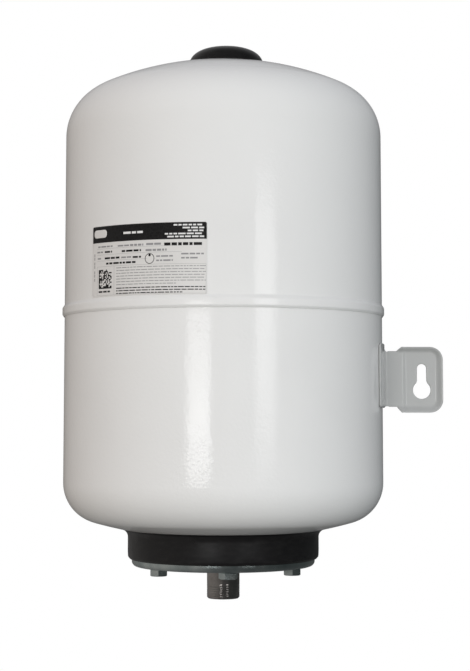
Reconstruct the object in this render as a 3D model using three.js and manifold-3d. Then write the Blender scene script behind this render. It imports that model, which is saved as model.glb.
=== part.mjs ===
// Vertical membrane expansion vessel for heating systems, in millimetres, +Z up.
// The origin is the centre of the water connection's end face, and +Z runs up the vessel's axis.
// The wall bracket stands out towards +X and the rating label is on the -Y side.

import * as THREE from "three";
import { mergeVertices } from "three/addons/utils/BufferGeometryUtils.js";
import Module from "manifold-3d";

const wasm = await Module();
wasm.setup();

// ---------------------------------------------------------------- driving dimensions

const FIT_GAP = 0.3; // between pieces that touch on the real vessel
const TANK_SIDES = 48; // facets round the tank and everything concentric with it of that size
const SMALL_SIDES = 24; // facets round the connection and the valve
const TINY_SIDES = 12; // facets round the screws' shanks and the valve core
const BAG_SIDES = 36; // facets round the bladder and the cover

// Tank: two deep-drawn shells, the upper one lapped over the lower one.
const TANK_R = 130;
const SHELL_WALL = 1.5;
const UPPER = { tangentZ: 375.4, knuckleR: 44, crownR: 248.5, side: 1 };
const LOWER = { tangentZ: 93.6, knuckleR: 33, crownR: 393, side: -1 };
const VALVE_HOLE_R = 11.6;
const NECK_HOLE_R = 50.6;
const LAP = {
  topZ: 236.5,
  bottomZ: 226.7,
  outerR: 131.9,
  cornerR: 0.6,
  cornerH: 1.4,
  lowerShellTopZ: 234.6,
};

// Flanged neck under the tank, with its black collar.
const NECK = { tubeInnerR: 47, tubeOuterR: 50.2, topZ: 55.5, bottomZ: 33.3, flangeR: 74.3, flangeT: 8 };
const COLLAR = {
  innerR: 75,
  outerR: 77.5,
  bottomZ: 32,
  innerChamfer: 0.4,
  bevelR: 0.3,
  bevelH: 1.6,
  bevelTopH: 2.6,
  filletR: 6.5,
  filletZ: 49.5,
  lipAngle: 108,
};

// Stamped flange that carries the connection and clamps the bladder's lip.
const FLANGE = { outerR: 74.2, bottomZ: 26.3, sheet: 3, rimTopZ: 32.2, edgeR: 4, holeR: 13.6 };
const CONNECTION = { threadR: 13.22, boreR: 10, chamfer: 1, boreChamfer: 0.8, shoulderR: 17, shoulderT: 3 };

// Six M8 hexagon screws.
const BOLT = {
  count: 6,
  circleR: 61.2,
  firstAngle: 3.5,
  shankR: 4,
  length: 20,
  tipChamfer: 1,
  acrossFlats: 13,
  headT: 5.3,
};
const THREADED_HOLE_R = 4.3;
const CLEARANCE_HOLE_R = 4.5;

// Bladder: a moulded butyl bag, open at its mouth.
const BLADDER = {
  wall: 2,
  neckR: 46.6,
  lipR: 56,
  bagR: 105,
  lowZ: 61.5,
  shoulderZ: 131.5,
  crownZ: 301.5,
  topZ: 401.5,
};

// Air valve on the crown.
const BOSS = { boreR: 5.3, bodyR: 11.2, footR: 15, bottomZ: 432.5, footTopZ: 435.8, topZ: 439.3 };
const SEAL_POCKET = { radius: 7.6, floorZ: 437.4, ringR: 6.35, ringLift: 0.1, sectionR: 0.8 };
const STEM = {
  threadR: 5,
  spigotR: 4.2,
  tubeR: 3.85,
  tipChamfer: 0.5,
  boreR: 2.65,
  exitR: 1.2,
  bottomZ: 425.1,
  seatZ: 430.6,
  topZ: 449.3,
};
const STEM_HEX = { acrossFlats: 14, bottomZ: 439.6, topZ: 442.6 };
const CORE = { barrelR: 2.35, taperR: 1.65, boreR: 1.1, taperH: 3, bottomZ: 439.4, topZ: 447.7 };
const PIN = { radius: 0.7, cupR: 1.9, bottomZ: 435.1, cupBottomZ: 436.8, cupTopZ: 438, topZ: 448.9 };
const SPRING = { coilR: 1.55, wireR: 0.2, turns: 4, wireSides: 6, stepsPerTurn: 12 };

// Cover over the valve: a flattened dome with a hub that grips the stem's hexagon.
const COVER = { offsetX: 2.2, baseR: 31, height: 16.2, baseZ: 436.6, edgeZ: 436.9, power: 2.5, wall: 1.7 };
const HUB = { innerR: 10.7, outerR: 12.1, bottomZ: 440.1 };

// Wall bracket: one folded sheet with a keyhole and a flared rim.
const BRACKET = {
  sheet: 1.5,
  bottomZ: 154.9,
  topZ: 199.6,
  footFrontAngle: -18,
  footBottomZ: 153.5,
  footTopZ: 205.1,
  bendR: 3,
  joggleX: 148.6,
  joggleRun: 1,
  joggleDepth: 1.5,
  floorEndX: 174.9,
  floorCornerR: 5,
};
const RIM = {
  startX: 142.2,
  chamferX: 145.7,
  outerX: 180.3,
  topZ: 203.8,
  bottomZ: 149.3,
  cornerR: 10,
  rise: 4.5,
  bite: 0.6, // how far its root reaches into the sheet
};
const KEYHOLE = { x: 162.9, slotHalfWidth: 3.9, slotCentreZ: 185.8, roundZ: 168.2, roundR: 7.2 };

// Rating label, wrapped on the upper shell. Angles run from -Y towards -X.
const LABEL = { fromAngle: 5.3, toAngle: 51, bottomZ: 237.4, topZ: 292.1, thickness: 0.25, steps: 12 };

// ---------------------------------------------------------------- materials

const material = (color, roughness, metalness) =>
  new THREE.MeshStandardMaterial({ color, roughness, metalness });

const enamel = () => material(0xe2e2e0, 0.28, 0);
const blackPlastic = () => material(0x1a191a, 0.5, 0);
const zincSteel = () => material(0x9aa39f, 0.4, 0.9);
const nickel = () => material(0x8c8782, 0.2, 1);
const brass = () => material(0xb8954a, 0.3, 1);
const springSteel = () => material(0x9a9a98, 0.35, 1);
const rubber = () => material(0x17171a, 0.85, 0);
const labelFilm = () => material(0xd6d4d0, 0.45, 0);

// ---------------------------------------------------------------- geometry helpers

const radians = THREE.MathUtils.degToRad;

// A solid from a closed geometry: shared vertices merged, collapsed triangles dropped, faces out.
function solidOf(geometry) {
  geometry.deleteAttribute("normal");
  geometry.deleteAttribute("uv");
  const merged = mergeVertices(geometry, 1e-5);
  const position = merged.getAttribute("position");
  const index = merged.getIndex().array;
  const corner = [new THREE.Vector3(), new THREE.Vector3(), new THREE.Vector3()];
  const triangles = [];
  let volume = 0;
  for (let i = 0; i < index.length; i += 3) {
    const [a, b, c] = [index[i], index[i + 1], index[i + 2]];
    if (a === b || b === c || c === a) continue;
    triangles.push([a, b, c]);
    [a, b, c].forEach((vertex, k) => corner[k].fromBufferAttribute(position, vertex));
    volume += corner[0].dot(corner[1].cross(corner[2])) / 6;
  }
  if (volume < 0) triangles.forEach((triangle) => triangle.reverse());
  const mesh = new wasm.Mesh({
    numProp: 3,
    vertProperties: Float32Array.from(position.array),
    triVerts: Uint32Array.from(triangles.flat()),
  });
  return new wasm.Manifold(mesh);
}

// A named mesh from a solid.
function meshOf(name, solid, finish) {
  const { numProp, vertProperties, triVerts } = solid.getMesh();
  const position = new Float32Array((vertProperties.length / numProp) * 3);
  for (let vertex = 0; vertex * numProp < vertProperties.length; vertex += 1) {
    for (let axis = 0; axis < 3; axis += 1) {
      position[vertex * 3 + axis] = vertProperties[vertex * numProp + axis];
    }
  }
  const geometry = new THREE.BufferGeometry();
  geometry.setAttribute("position", new THREE.BufferAttribute(position, 3));
  geometry.setIndex(new THREE.BufferAttribute(Uint32Array.from(triVerts), 1));
  geometry.computeVertexNormals();
  const mesh = new THREE.Mesh(geometry, finish);
  mesh.name = name;
  return mesh;
}

// A solid of revolution about +Z. The profile's points are [radius, z].
function turned(profile, sides) {
  const points = profile.map(([radius, z]) => new THREE.Vector2(radius, z));
  const geometry = new THREE.LatheGeometry(points, sides);
  geometry.rotateX(Math.PI / 2);
  return solidOf(geometry);
}

// A ring: a profile that doesn't reach the axis and closes on itself.
const turnedRing = (profile, sides) => turned([...profile, profile[0]], sides);

// Points [radius, z] on an arc, with angles in degrees from the outward direction.
function arc(centreR, centreZ, radius, from, to, steps) {
  return Array.from({ length: steps + 1 }, (_, i) => {
    const angle = radians(from + ((to - from) * i) / steps);
    return [centreR + radius * Math.cos(angle), centreZ + radius * Math.sin(angle)];
  });
}

// Points of an arc about the tank's axis, in plan.
function planArc(radius, fromDegrees, toDegrees, steps) {
  return Array.from({ length: steps + 1 }, (_, i) => {
    const angle = radians(fromDegrees + ((toDegrees - fromDegrees) * i) / steps);
    return new THREE.Vector2(radius * Math.cos(angle), radius * Math.sin(angle));
  });
}

// A shape drawn in X and Y, raised from one height to another.
function prism(shape, fromZ, toZ) {
  const geometry = new THREE.ExtrudeGeometry(shape, {
    depth: toZ - fromZ,
    bevelEnabled: false,
    curveSegments: 8,
  });
  geometry.translate(0, 0, fromZ);
  return solidOf(geometry);
}

// A shape drawn in X and Z, given thickness from one Y to another.
function sheetPiece(shape, fromY, toY) {
  const geometry = new THREE.ExtrudeGeometry(shape, {
    depth: toY - fromY,
    bevelEnabled: false,
    curveSegments: 8,
  });
  geometry.rotateX(Math.PI / 2);
  geometry.translate(0, toY, 0);
  return solidOf(geometry);
}

// A regular hexagon across its flats, two of which face +X and -X.
function hexagon(acrossFlats) {
  const cornerR = acrossFlats / Math.sqrt(3);
  const corners = Array.from({ length: 6 }, (_, i) => {
    const angle = radians(60 * i + 30);
    return new THREE.Vector2(cornerR * Math.cos(angle), cornerR * Math.sin(angle));
  });
  return new THREE.Shape(corners);
}

// ---------------------------------------------------------------- tank

// Dome geometry: the crown's centre height and the angle at which crown and knuckle meet.
function domeOf({ tangentZ, knuckleR, crownR, side }) {
  const reach = TANK_R - knuckleR;
  const centreZ = tangentZ - side * Math.sqrt((crownR - knuckleR) ** 2 - reach ** 2);
  const meetAngle = Math.acos(reach / (crownR - knuckleR));
  return { centreZ, meetAngle: THREE.MathUtils.radToDeg(meetAngle) };
}

// Dome profile from a hole's edge out to the tangent line, inset from the outer surface.
function domeProfile(dome, holeR, inset, crownSteps, knuckleSteps) {
  const { centreZ, meetAngle } = domeOf(dome);
  const crownR = dome.crownR - inset;
  const holeAngle = THREE.MathUtils.radToDeg(Math.acos(holeR / crownR));
  const { side, knuckleR, tangentZ } = dome;
  const crown = arc(0, centreZ, crownR, side * holeAngle, side * meetAngle, crownSteps);
  const knuckle = arc(TANK_R - knuckleR, tangentZ, knuckleR - inset, side * meetAngle, 0, knuckleSteps);
  return [...crown, ...knuckle.slice(1)];
}

function upperShell() {
  const { topZ, bottomZ, outerR, cornerR, cornerH, lowerShellTopZ } = LAP;
  const lapInnerR = TANK_R + FIT_GAP;
  const lapRim = [
    [TANK_R, topZ],
    [outerR - cornerR, topZ - cornerH],
    [outerR, topZ - 2 * cornerH],
    [outerR, bottomZ + cornerH],
    [outerR - cornerR, bottomZ],
    [lapInnerR, bottomZ],
    [lapInnerR, lowerShellTopZ + FIT_GAP],
    [TANK_R - SHELL_WALL, topZ],
  ];
  return turnedRing([
    ...domeProfile(UPPER, VALVE_HOLE_R, 0, 5, 6),
    ...lapRim,
    ...domeProfile(UPPER, VALVE_HOLE_R, SHELL_WALL, 5, 6).reverse(),
  ], TANK_SIDES);
}

function lowerShell() {
  return turnedRing([
    ...domeProfile(LOWER, NECK_HOLE_R, 0, 2, 7),
    [TANK_R, LAP.lowerShellTopZ],
    [TANK_R - SHELL_WALL, LAP.lowerShellTopZ],
    ...domeProfile(LOWER, NECK_HOLE_R, SHELL_WALL, 2, 7).reverse(),
  ], TANK_SIDES);
}

// The height of the lower dome's outer surface at a radius.
function lowerDomeZ(radius) {
  return domeOf(LOWER).centreZ - Math.sqrt(LOWER.crownR ** 2 - radius ** 2);
}

// ---------------------------------------------------------------- neck, collar and flange

const boltAngle = (i) => radians(-90 + BOLT.firstAngle + (360 / BOLT.count) * i);

// Cuts the screws' holes through a solid.
function withBoltHoles(solid, holeR, fromZ, toZ) {
  let result = solid;
  for (let i = 0; i < BOLT.count; i += 1) {
    const hole = turned([[0, fromZ - 1], [holeR, fromZ - 1], [holeR, toZ + 1], [0, toZ + 1]], TINY_SIDES);
    const at = boltAngle(i);
    result = result.subtract(hole.translate([BOLT.circleR * Math.cos(at), BOLT.circleR * Math.sin(at), 0]));
  }
  return result;
}

function neckRing() {
  const flangeTopZ = NECK.bottomZ + NECK.flangeT;
  const ring = turnedRing([
    [NECK.tubeInnerR, NECK.bottomZ],
    [NECK.flangeR, NECK.bottomZ],
    [NECK.flangeR, flangeTopZ],
    [NECK.tubeOuterR, flangeTopZ],
    [NECK.tubeOuterR, NECK.topZ],
    [NECK.tubeInnerR, NECK.topZ],
  ], TANK_SIDES);
  return withBoltHoles(ring, THREADED_HOLE_R, NECK.bottomZ, flangeTopZ);
}

function collarRing() {
  const { innerR, outerR, bottomZ, innerChamfer, bevelR, bevelH, bevelTopH } = COLLAR;
  const { filletR, filletZ, lipAngle } = COLLAR;
  const lip = arc(outerR + filletR, filletZ, filletR, 180, lipAngle, 5);
  return turnedRing([
    [innerR + innerChamfer, bottomZ],
    [outerR - bevelR, bottomZ + bevelH],
    [outerR, bottomZ + bevelTopH],
    ...lip,
    [innerR, lowerDomeZ(innerR) - FIT_GAP],
    [innerR, bottomZ + innerChamfer],
  ], TANK_SIDES);
}

function flangePlate() {
  const { outerR, bottomZ, sheet, rimTopZ, edgeR, holeR } = FLANGE;
  const edgeCentreR = outerR - edgeR;
  const edgeCentreZ = bottomZ + edgeR;
  const plate = turnedRing([
    [holeR, bottomZ],
    ...arc(edgeCentreR, edgeCentreZ, edgeR, -90, 0, 4),
    [outerR, rimTopZ],
    [outerR - sheet, rimTopZ],
    ...arc(edgeCentreR, edgeCentreZ, edgeR - sheet, 0, -90, 2),
    [holeR, bottomZ + sheet],
  ], TANK_SIDES);
  return withBoltHoles(plate, CLEARANCE_HOLE_R, bottomZ, rimTopZ);
}

function waterConnection() {
  const { threadR, boreR, chamfer, boreChamfer, shoulderR, shoulderT } = CONNECTION;
  const shoulderZ = FLANGE.bottomZ + FLANGE.sheet + FIT_GAP;
  return turnedRing([
    [threadR - chamfer, 0],
    [threadR, chamfer],
    [threadR, shoulderZ],
    [shoulderR, shoulderZ],
    [shoulderR, shoulderZ + shoulderT],
    [boreR, shoulderZ + shoulderT],
    [boreR, boreChamfer],
    [boreR + boreChamfer, 0],
  ], SMALL_SIDES);
}

// A hexagon screw standing on its head, with its shank up into the neck ring.
function flangeBolt(i) {
  const headTopZ = FLANGE.bottomZ - FIT_GAP;
  const { shankR, length, tipChamfer, circleR, acrossFlats, headT } = BOLT;
  const shankFoot = headTopZ - headT / 2;
  const shank = turned([
    [0, shankFoot],
    [shankR, shankFoot],
    [shankR, headTopZ + length - tipChamfer],
    [shankR - tipChamfer, headTopZ + length],
    [0, headTopZ + length],
  ], TINY_SIDES);
  const at = boltAngle(i);
  return prism(hexagon(acrossFlats), headTopZ - headT, headTopZ)
    .add(shank)
    .translate([circleR * Math.cos(at), circleR * Math.sin(at), 0]);
}

// ---------------------------------------------------------------- bladder

function bladder() {
  const { wall, neckR, lipR, bagR, lowZ, shoulderZ, crownZ, topZ } = BLADDER;
  const lipBottomZ = FLANGE.bottomZ + FLANGE.sheet + FIT_GAP;
  const lipTopZ = NECK.bottomZ - FIT_GAP;
  const quarter = (steps, point) =>
    Array.from({ length: steps + 1 }, (_, i) => point((Math.PI / 2) * (i / steps)));
  const skin = (inset) => [
    ...quarter(6, (t) => [(bagR - inset) * Math.sin(t), crownZ + (topZ - crownZ - inset) * Math.cos(t)]),
    ...quarter(5, (t) => [
      neckR - inset + (bagR - neckR) * Math.cos(t),
      shoulderZ - (shoulderZ - lowZ - inset) * Math.sin(t),
    ]),
  ];
  return turned([
    ...skin(0),
    [neckR, lipTopZ],
    [lipR, lipTopZ],
    [lipR, lipBottomZ],
    [neckR - wall, lipBottomZ],
    ...skin(wall).reverse(),
  ], BAG_SIDES);
}

// ---------------------------------------------------------------- air valve

function valveBoss() {
  const { boreR, bodyR, footR, bottomZ, footTopZ, topZ } = BOSS;
  return turnedRing([
    [boreR, bottomZ],
    [footR, bottomZ],
    [footR, footTopZ],
    [bodyR, footTopZ],
    [bodyR, topZ],
    [SEAL_POCKET.radius, topZ],
    [SEAL_POCKET.radius, SEAL_POCKET.floorZ],
    [boreR, SEAL_POCKET.floorZ],
  ], SMALL_SIDES);
}

function valveSeal() {
  const { ringR, ringLift, sectionR, floorZ } = SEAL_POCKET;
  return turned(arc(ringR, floorZ + sectionR + ringLift, sectionR, 0, 360, 8), SMALL_SIDES);
}

function valveStem() {
  const { threadR, spigotR, tubeR, tipChamfer, boreR, exitR, bottomZ, seatZ, topZ } = STEM;
  const insideHexZ = (STEM_HEX.bottomZ + STEM_HEX.topZ) / 2;
  const body = turnedRing([
    [exitR, bottomZ],
    [spigotR, bottomZ],
    [spigotR, BOSS.bottomZ],
    [threadR, BOSS.bottomZ],
    [threadR, insideHexZ],
    [tubeR, insideHexZ],
    [tubeR, topZ - tipChamfer],
    [tubeR - tipChamfer, topZ],
    [boreR, topZ],
    [boreR, seatZ],
    [exitR, seatZ],
  ], SMALL_SIDES);
  const outline = hexagon(STEM_HEX.acrossFlats);
  const opening = new THREE.Path();
  opening.absarc(0, 0, (boreR + tubeR) / 2, 0, Math.PI * 2, true);
  outline.holes.push(opening);
  return body.add(prism(outline, STEM_HEX.bottomZ, STEM_HEX.topZ));
}

function coreBarrel() {
  const { barrelR, taperR, boreR, taperH, bottomZ, topZ } = CORE;
  return turnedRing([
    [boreR, bottomZ],
    [taperR, bottomZ],
    [barrelR, bottomZ + taperH],
    [barrelR, topZ],
    [boreR, topZ],
  ], TINY_SIDES);
}

function corePin() {
  const { radius, cupR, bottomZ, cupBottomZ, cupTopZ, topZ } = PIN;
  return turned([
    [0, bottomZ],
    [radius, bottomZ],
    [radius, cupBottomZ],
    [cupR, cupBottomZ],
    [cupR, cupTopZ],
    [radius, cupTopZ],
    [radius, topZ],
    [0, topZ],
  ], TINY_SIDES);
}

function coreSeal() {
  const bottomZ = PIN.cupTopZ + FIT_GAP;
  const topZ = CORE.bottomZ - FIT_GAP;
  const holeR = PIN.radius + FIT_GAP;
  return turnedRing([[holeR, bottomZ], [PIN.cupR, bottomZ], [PIN.cupR, topZ], [holeR, topZ]], TINY_SIDES);
}

// The core's return spring, between the stem's inner shoulder and the pin's cup.
class Helix extends THREE.Curve {
  constructor(radius, fromZ, toZ, turns) {
    super();
    Object.assign(this, { radius, fromZ, toZ, turns });
  }

  getPoint(t, target = new THREE.Vector3()) {
    const angle = Math.PI * 2 * this.turns * t;
    const z = this.fromZ + (this.toZ - this.fromZ) * t;
    return target.set(this.radius * Math.cos(angle), this.radius * Math.sin(angle), z);
  }
}

function coreSpring() {
  const { coilR, wireR, turns, wireSides, stepsPerTurn } = SPRING;
  const inset = FIT_GAP + wireR;
  const section = new THREE.Shape(planArc(wireR, 0, 360 - 360 / wireSides, wireSides - 1));
  const geometry = new THREE.ExtrudeGeometry(section, {
    steps: turns * stepsPerTurn,
    extrudePath: new Helix(coilR, STEM.seatZ + inset, PIN.cupBottomZ - inset, turns),
  });
  return solidOf(geometry);
}

// ---------------------------------------------------------------- valve cover

// Radius of the cover's flattened dome at its edge, inset from the outer surface.
function coverEdgeR(inset) {
  const rise = (COVER.edgeZ - COVER.baseZ) / (COVER.height - inset);
  return (COVER.baseR - inset) * (1 - rise ** COVER.power) ** (1 / COVER.power);
}

// Points on that dome from one radius out to another.
function coverSkin(inset, fromR, toR, steps) {
  const radius = COVER.baseR - inset;
  const height = COVER.height - inset;
  const angleAt = (r) => {
    const across = r / radius;
    return Math.atan2(across, (1 - across ** COVER.power) ** (1 / COVER.power));
  };
  return Array.from({ length: steps + 1 }, (_, i) => {
    const angle = angleAt(fromR) + ((angleAt(toR) - angleAt(fromR)) * i) / steps;
    const across = Math.sin(angle);
    const up = Math.cos(angle);
    const scale = (across ** COVER.power + up ** COVER.power) ** (-1 / COVER.power);
    return [radius * across * scale, COVER.baseZ + height * up * scale];
  });
}

// The cover's skirt, outside its hub.
function valveCover() {
  const innerR = HUB.outerR + FIT_GAP;
  return turnedRing([
    ...coverSkin(0, innerR, coverEdgeR(0), 7),
    ...coverSkin(COVER.wall, innerR, coverEdgeR(COVER.wall), 6).reverse(),
  ], BAG_SIDES).translate([COVER.offsetX, 0, 0]);
}

// The cover's crown with its hub, open at the bottom.
function valveCoverHub() {
  const ceilingZ = COVER.baseZ + COVER.height - COVER.wall;
  return turned([
    ...coverSkin(0, 0, HUB.outerR, 3),
    [HUB.outerR, HUB.bottomZ],
    [HUB.innerR, HUB.bottomZ],
    [HUB.innerR, ceilingZ],
    [0, ceilingZ],
  ], BAG_SIDES).translate([COVER.offsetX, 0, 0]);
}

// ---------------------------------------------------------------- wall bracket

const footR = TANK_R + FIT_GAP;
const plateFrontY = -BRACKET.sheet / 2;
const floorFrontY = plateFrontY + BRACKET.joggleDepth;
const footEndAngle = -1; // just inside the fold

// The foot that is welded along the tank.
function bracketFoot() {
  const shape = new THREE.Shape([
    ...planArc(footR, BRACKET.footFrontAngle, footEndAngle, 4),
    ...planArc(footR + BRACKET.sheet, BRACKET.footFrontAngle, footEndAngle, 4).reverse(),
  ]);
  return prism(shape, BRACKET.footBottomZ, BRACKET.footTopZ);
}

// The fold out of the foot, the neck and the joggle, in plan.
function bracketNeck() {
  const { sheet, bendR, joggleX, joggleRun, bottomZ, topZ } = BRACKET;
  const foldX = footR + sheet + bendR;
  const foldY = plateFrontY - bendR;
  const endX = joggleX + 2 * joggleRun; // a little past the joggle, inside the floor
  const back = [
    ...arc(foldX, foldY, bendR + sheet, 180, 90, 4),
    [joggleX - joggleRun, plateFrontY + sheet],
    [joggleX + joggleRun / 2, floorFrontY + sheet],
    [endX, floorFrontY + sheet],
  ];
  const front = [
    ...arc(foldX, foldY, bendR, 180, 90, 4),
    [joggleX - joggleRun / 2, plateFrontY],
    [joggleX + joggleRun, floorFrontY],
    [endX, floorFrontY],
  ];
  const shape = new THREE.Shape([...back, ...front.reverse()].map(([x, y]) => new THREE.Vector2(x, y)));
  return prism(shape, bottomZ, topZ);
}

// The keyhole in X and Z: a slot that opens into a round hole below it.
function keyholePath() {
  const { x, slotHalfWidth, slotCentreZ, roundZ, roundR } = KEYHOLE;
  const mouth = Math.asin(slotHalfWidth / roundR);
  const path = new THREE.Path();
  path.absarc(x, slotCentreZ, slotHalfWidth, 0, Math.PI, false);
  path.absarc(x, roundZ, roundR, Math.PI / 2 + mouth, (5 * Math.PI) / 2 - mouth, false);
  path.closePath();
  return path;
}

// The floor of the bracket's dished end, with the keyhole.
function bracketFloor() {
  const { joggleX, joggleRun, floorEndX, floorCornerR, bottomZ, topZ, sheet } = BRACKET;
  const cornerX = floorEndX - floorCornerR;
  const shape = new THREE.Shape();
  shape.moveTo(joggleX + joggleRun, bottomZ);
  shape.lineTo(cornerX, bottomZ);
  shape.absarc(cornerX, bottomZ + floorCornerR, floorCornerR, -Math.PI / 2, 0, false);
  shape.absarc(cornerX, topZ - floorCornerR, floorCornerR, 0, Math.PI / 2, false);
  shape.lineTo(joggleX + joggleRun, topZ);
  shape.closePath();
  shape.holes.push(keyholePath());
  return sheetPiece(shape, floorFrontY, floorFrontY + sheet);
}

// Stations along the rim, each with a point on the fold and one on the free edge, in X and Z.
function rimStations() {
  const { joggleX, joggleRun, floorEndX, floorCornerR, bottomZ, topZ } = BRACKET;
  const { bite } = RIM;
  const corner = (side, from, to) => {
    const foldZ = side > 0 ? topZ - floorCornerR : bottomZ + floorCornerR;
    const edgeZ = side > 0 ? RIM.topZ - RIM.cornerR : RIM.bottomZ + RIM.cornerR;
    const fold = arc(floorEndX - floorCornerR, foldZ, floorCornerR - bite, from, to, 5);
    const edge = arc(RIM.outerX - RIM.cornerR, edgeZ, RIM.cornerR, from, to, 5);
    return fold.map((point, i) => ({ fold: point, edge: edge[i], y: floorFrontY }));
  };
  const straight = (foldZ, edgeZ) => [
    { fold: [RIM.startX, foldZ], edge: [RIM.chamferX, edgeZ], y: plateFrontY },
    { fold: [joggleX - joggleRun, foldZ], edge: [joggleX - joggleRun, edgeZ], y: plateFrontY },
    { fold: [joggleX + joggleRun, foldZ], edge: [joggleX + joggleRun, edgeZ], y: floorFrontY },
  ];
  return [
    ...straight(topZ - bite, RIM.topZ),
    ...corner(1, 90, 0),
    ...corner(-1, 0, -90),
    ...straight(bottomZ + bite, RIM.bottomZ).reverse(),
  ];
}

// The flared rim: four points at each station, joined station to station and closed at both ends.
function bracketRim() {
  const { sheet } = BRACKET;
  const position = rimStations().flatMap(({ fold, edge, y }) => [
    [fold[0], y, fold[1]],
    [fold[0], y + sheet, fold[1]],
    [edge[0], y + sheet - RIM.rise, edge[1]],
    [edge[0], y - RIM.rise, edge[1]],
  ]);
  const index = [];
  for (let ring = 0; ring + 4 < position.length; ring += 4) {
    for (let k = 0; k < 4; k += 1) {
      const [a, b] = [ring + k, ring + ((k + 1) % 4)];
      index.push(a, b, a + 4, b, b + 4, a + 4);
    }
  }
  const last = position.length - 4;
  index.push(0, 2, 1, 0, 3, 2, last, last + 1, last + 2, last, last + 2, last + 3);
  const geometry = new THREE.BufferGeometry();
  geometry.setAttribute("position", new THREE.Float32BufferAttribute(position.flat(), 3));
  geometry.setIndex(index);
  return solidOf(geometry);
}

function wallBracket() {
  return bracketFoot().add(bracketNeck()).add(bracketFloor()).add(bracketRim());
}

// ---------------------------------------------------------------- rating label

function ratingLabel() {
  const innerR = TANK_R + FIT_GAP;
  const from = -90 - LABEL.toAngle;
  const to = -90 - LABEL.fromAngle;
  const shape = new THREE.Shape([
    ...planArc(innerR + LABEL.thickness, from, to, LABEL.steps),
    ...planArc(innerR, from, to, LABEL.steps).reverse(),
  ]);
  return prism(shape, LABEL.bottomZ, LABEL.topZ);
}

// ---------------------------------------------------------------- assembly

const vessel = new THREE.Group();

vessel.add(
  meshOf("upper_shell", upperShell(), enamel()),
  meshOf("lower_shell", lowerShell(), enamel()),
  meshOf("neck_ring", neckRing(), zincSteel()),
  meshOf("collar_ring", collarRing(), blackPlastic()),
  meshOf("flange_plate", flangePlate(), zincSteel()),
  meshOf("water_connection", waterConnection(), nickel()),
  meshOf("bladder", bladder(), rubber()),
  meshOf("wall_bracket", wallBracket(), enamel()),
  meshOf("rating_label", ratingLabel(), labelFilm()),
);

for (let i = 0; i < BOLT.count; i += 1) {
  vessel.add(meshOf(`flange_bolt_${i + 1}`, flangeBolt(i), zincSteel()));
}

vessel.add(
  meshOf("valve_boss", valveBoss(), zincSteel()),
  meshOf("valve_seal", valveSeal(), rubber()),
  meshOf("valve_stem", valveStem(), brass()),
  meshOf("valve_core_barrel", coreBarrel(), brass()),
  meshOf("valve_core_pin", corePin(), brass()),
  meshOf("valve_core_seal", coreSeal(), rubber()),
  meshOf("valve_core_spring", coreSpring(), springSteel()),
  meshOf("valve_cover", valveCover(), blackPlastic()),
  meshOf("valve_cover_hub", valveCoverHub(), blackPlastic()),
);

export default vessel;
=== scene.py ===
"""An expansion vessel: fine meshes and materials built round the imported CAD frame.

Lengths are millimetres in the CAD frame until build_mesh() turns them into metres."""

import math
import random

import bmesh
import bpy
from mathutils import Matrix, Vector
from mathutils.geometry import delaunay_2d_cdt


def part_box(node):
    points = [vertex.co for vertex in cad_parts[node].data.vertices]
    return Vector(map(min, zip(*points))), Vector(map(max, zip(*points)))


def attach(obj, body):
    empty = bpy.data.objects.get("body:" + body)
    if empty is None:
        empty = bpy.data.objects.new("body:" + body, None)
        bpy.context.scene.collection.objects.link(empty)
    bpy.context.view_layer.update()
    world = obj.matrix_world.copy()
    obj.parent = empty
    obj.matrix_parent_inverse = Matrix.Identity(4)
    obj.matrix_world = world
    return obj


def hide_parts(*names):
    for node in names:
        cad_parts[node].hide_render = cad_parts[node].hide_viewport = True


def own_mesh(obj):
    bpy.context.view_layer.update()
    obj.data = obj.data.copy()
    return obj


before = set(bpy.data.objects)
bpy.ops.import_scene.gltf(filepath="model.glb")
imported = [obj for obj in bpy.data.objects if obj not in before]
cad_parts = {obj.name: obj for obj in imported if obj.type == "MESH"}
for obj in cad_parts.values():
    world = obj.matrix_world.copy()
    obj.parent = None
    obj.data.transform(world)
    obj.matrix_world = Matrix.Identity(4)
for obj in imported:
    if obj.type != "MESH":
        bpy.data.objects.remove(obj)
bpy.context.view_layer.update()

MM = 0.001
TAU = 2 * math.pi


def box(node):
    """Lowest and highest corner of a CAD node, in millimetres."""
    low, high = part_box(node)
    return low / MM, high / MM


# ---------------------------------------------------------------- sizes that a box can't give

TANK_R = box("lower_shell")[1].x
WALL = 1.5
UPPER_DOME = {"tangent_z": 375.4, "knuckle_r": 44.0, "crown_r": 248.5, "side": 1}
LOWER_DOME = {"tangent_z": 93.6, "knuckle_r": 33.0, "crown_r": 393.0, "side": -1}
VALVE_HOLE_R = 11.6
NECK_HOLE_R = 50.6
SEAM_TOP_Z = 236.5
BOLT_COUNT = 6
BOLT_CIRCLE_R = 61.2
BOLT_FIRST_ANGLE = math.radians(-86.5)
BOLT_FLATS = 13.0
SCREW_TURNS = (41, 0, 51, 5, 28, 0)  # how far each head has been turned, in degrees
CONNECTION_BORE_R = 10.0
PIPE_PITCH = 1.814
STEM_FLATS = 14.0
COVER_POWER = 2.5
COVER_WALL = 1.7
HUB_INNER_R = 10.7
HUB_OUTER_R = 12.1


# ---------------------------------------------------------------- mesh helpers

def build_mesh(name, points, faces, material, sharp=32.0):
    """An object from points in millimetres, with its faces pointing out and its hard edges sharp."""
    mesh = bpy.data.meshes.new(name)
    mesh.from_pydata([Vector(p) * MM for p in points], [], faces)
    work = bmesh.new()
    work.from_mesh(mesh)
    bmesh.ops.remove_doubles(work, verts=work.verts, dist=1e-7)
    bmesh.ops.recalc_face_normals(work, faces=work.faces)
    work.to_mesh(mesh)
    work.free()
    mesh.polygons.foreach_set("use_smooth", [True] * len(mesh.polygons))
    mesh.set_sharp_from_angle(angle=math.radians(sharp))
    mesh.materials.append(material)
    obj = bpy.data.objects.new(name, mesh)
    bpy.context.scene.collection.objects.link(obj)
    return obj


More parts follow.
